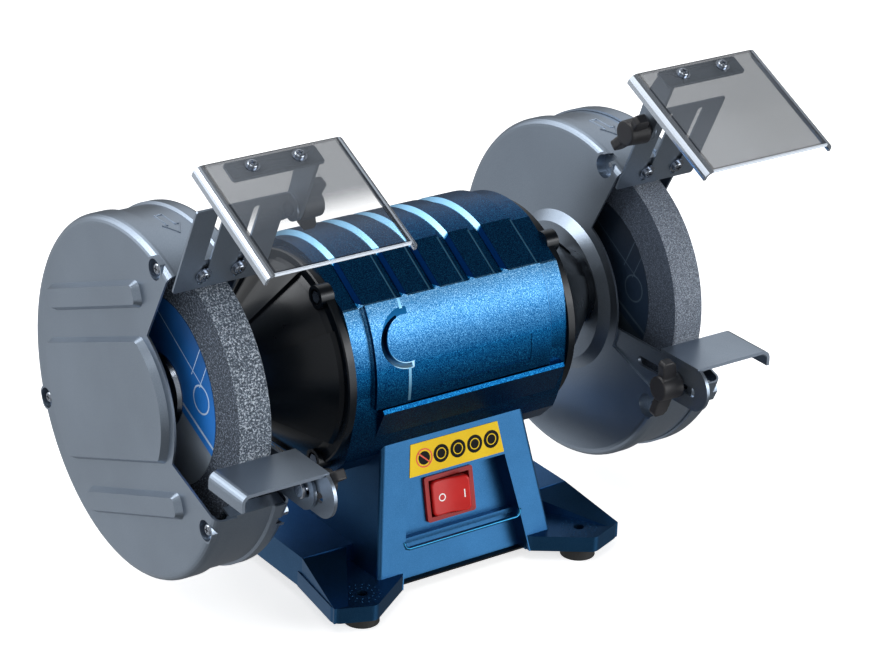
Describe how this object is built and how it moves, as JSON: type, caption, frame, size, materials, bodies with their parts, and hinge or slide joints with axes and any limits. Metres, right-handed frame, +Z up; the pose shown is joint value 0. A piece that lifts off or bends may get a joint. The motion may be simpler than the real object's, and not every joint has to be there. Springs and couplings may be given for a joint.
{
  "type": "bench grinder",
  "caption": "Double-ended bench grinder on a tapered pedestal, with guarded abrasive wheels, clear eye shields, tool rests and a rocker switch.",
  "frame": {"origin": "on the bench, at the middle of the four bench bolt holes", "axes": "+X along the shaft to the right-hand wheel, -Y towards the user, +Z up"},
  "size_m": [0.463, 0.3371, 0.3681],
  "materials": {
    "blue_paint": "metallic paint, satin",
    "black_paint": "semi-gloss",
    "grey_paint": "satin grey paint",
    "steel": "zinc plated",
    "lamination": "bare laminations",
    "copper": "enamelled copper",
    "coarse_abrasive": "coarse grit",
    "fine_abrasive": "fine grit",
    "blue_label": "printed paper",
    "dark_label": "printed paper",
    "yellow_label": "printed film",
    "clear_shield": "clear",
    "black_plastic": "moulded",
    "red_plastic": "gloss",
    "red_rocker": "gloss",
    "rubber": "matt",
    "can_aluminium": "drawn can"
  },
  "bodies": {
    "frame": {"pedestal": "blue_paint", "base_cover": "black_paint", "base_cover_screws": "steel", "rubber_feet": "rubber", "label_plate": "yellow_label", "switch_frame": "red_plastic", "switch_body": "black_plastic", "run_capacitor": "can_aluminium", "terminal_block": "black_plastic", "cable_gland": "black_plastic", "motor_housing": "blue_paint", "stator_core": "lamination", "stator_windings": "copper", "through_bolts": "steel", "left_bearing": "steel", "left_end_bell": "black_paint", "left_guard_pan": "grey_paint", "left_guard_cover": "grey_paint", "left_cover_screws": "steel", "left_pan_screws": "steel", "left_rest_bracket": "grey_paint", "left_spark_screws": "steel", "right_bearing": "steel", "right_end_bell": "black_paint", "right_guard_pan": "grey_paint", "right_guard_cover": "grey_paint", "right_cover_screws": "steel", "right_pan_screws": "steel", "right_rest_bracket": "grey_paint", "right_spark_screws": "steel"},
    "rotor": {"shaft": "steel", "rotor_core": "lamination", "left_wheel": "coarse_abrasive", "left_wheel_labels": "blue_label", "left_wheel_flanges": "steel", "left_wheel_nut": "steel", "right_wheel": "fine_abrasive", "right_wheel_labels": "dark_label", "right_wheel_flanges": "steel", "right_wheel_nut": "steel"},
    "rocker": {"rocker": "red_rocker"},
    "left_rest_carriage": {"left_rest_bolt": "steel"},
    "left_rest": {"left_tool_rest": "grey_paint"},
    "left_rest_clamp": {"left_rest_knob": "black_plastic"},
    "left_spark": {"left_spark_plate": "grey_paint", "left_shield_pivot_bolt": "steel"},
    "left_shield": {"left_shield_bracket": "grey_paint", "left_eye_shield": "clear_shield", "left_shield_screws": "steel"},
    "left_shield_clamp": {"left_shield_knob": "black_plastic"},
    "right_rest_carriage": {"right_rest_bolt": "steel"},
    "right_rest": {"right_tool_rest": "grey_paint"},
    "right_rest_clamp": {"right_rest_knob": "black_plastic"},
    "right_spark": {"right_spark_plate": "grey_paint", "right_shield_pivot_bolt": "steel"},
    "right_shield": {"right_shield_bracket": "grey_paint", "right_eye_shield": "clear_shield", "right_shield_screws": "steel"},
    "right_shield_clamp": {"right_shield_knob": "black_plastic"}
  },
  "joints": [
    {"name": "rotor_spin", "type": "hinge", "parent": "frame", "child": "rotor", "pos_m": [0, 0, 0.1654], "axis": [1, 0, 0], "continuous": true},
    {"name": "rocker_press", "type": "hinge", "parent": "frame", "child": "rocker", "pos_m": [0, -0.06148, 0.05965], "axis": [0, 0.2178, 0.976], "range_deg": [0, 24]},
    {"name": "left_rest_slide", "type": "slide", "parent": "frame", "child": "left_rest_carriage", "axis": [0, -1, 0], "range_m": [-0.001, 0.006]},
    {"name": "left_rest_tilt", "type": "hinge", "parent": "left_rest_carriage", "child": "left_rest", "pos_m": [-0.16, -0.1225, 0.1325], "axis": [1, 0, 0], "range_deg": [-10, 30]},
    {"name": "left_rest_knob_turn", "type": "hinge", "parent": "left_rest_carriage", "child": "left_rest_clamp", "pos_m": [-0.16, -0.1225, 0.1325], "axis": [1, 0, 0], "range_deg": [0, 180]},
    {"name": "left_spark_slide", "type": "slide", "parent": "frame", "child": "left_spark", "axis": [0, -0.4226, 0.9063], "range_m": [-0.005, 0.007]},
    {"name": "left_shield_tilt", "type": "hinge", "parent": "left_spark", "child": "left_shield", "pos_m": [-0.148, -0.083, 0.318], "axis": [1, 0, 0], "range_deg": [-45, 20]},
    {"name": "left_shield_knob_turn", "type": "hinge", "parent": "left_spark", "child": "left_shield_clamp", "pos_m": [-0.148, -0.083, 0.318], "axis": [1, 0, 0], "range_deg": [0, 180]},
    {"name": "right_rest_slide", "type": "slide", "parent": "frame", "child": "right_rest_carriage", "axis": [0, -1, 0], "range_m": [-0.001, 0.006]},
    {"name": "right_rest_tilt", "type": "hinge", "parent": "right_rest_carriage", "child": "right_rest", "pos_m": [0.16, -0.1225, 0.1325], "axis": [1, 0, 0], "range_deg": [-10, 30]},
    {"name": "right_rest_knob_turn", "type": "hinge", "parent": "right_rest_carriage", "child": "right_rest_clamp", "pos_m": [0.16, -0.1225, 0.1325], "axis": [1, 0, 0], "range_deg": [0, 180]},
    {"name": "right_spark_slide", "type": "slide", "parent": "frame", "child": "right_spark", "axis": [0, -0.4226, 0.9063], "range_m": [-0.005, 0.007]},
    {"name": "right_shield_tilt", "type": "hinge", "parent": "right_spark", "child": "right_shield", "pos_m": [0.148, -0.083, 0.318], "axis": [1, 0, 0], "range_deg": [-45, 20]},
    {"name": "right_shield_knob_turn", "type": "hinge", "parent": "right_spark", "child": "right_shield_clamp", "pos_m": [0.148, -0.083, 0.318], "axis": [1, 0, 0], "range_deg": [0, 180]}
  ]
}
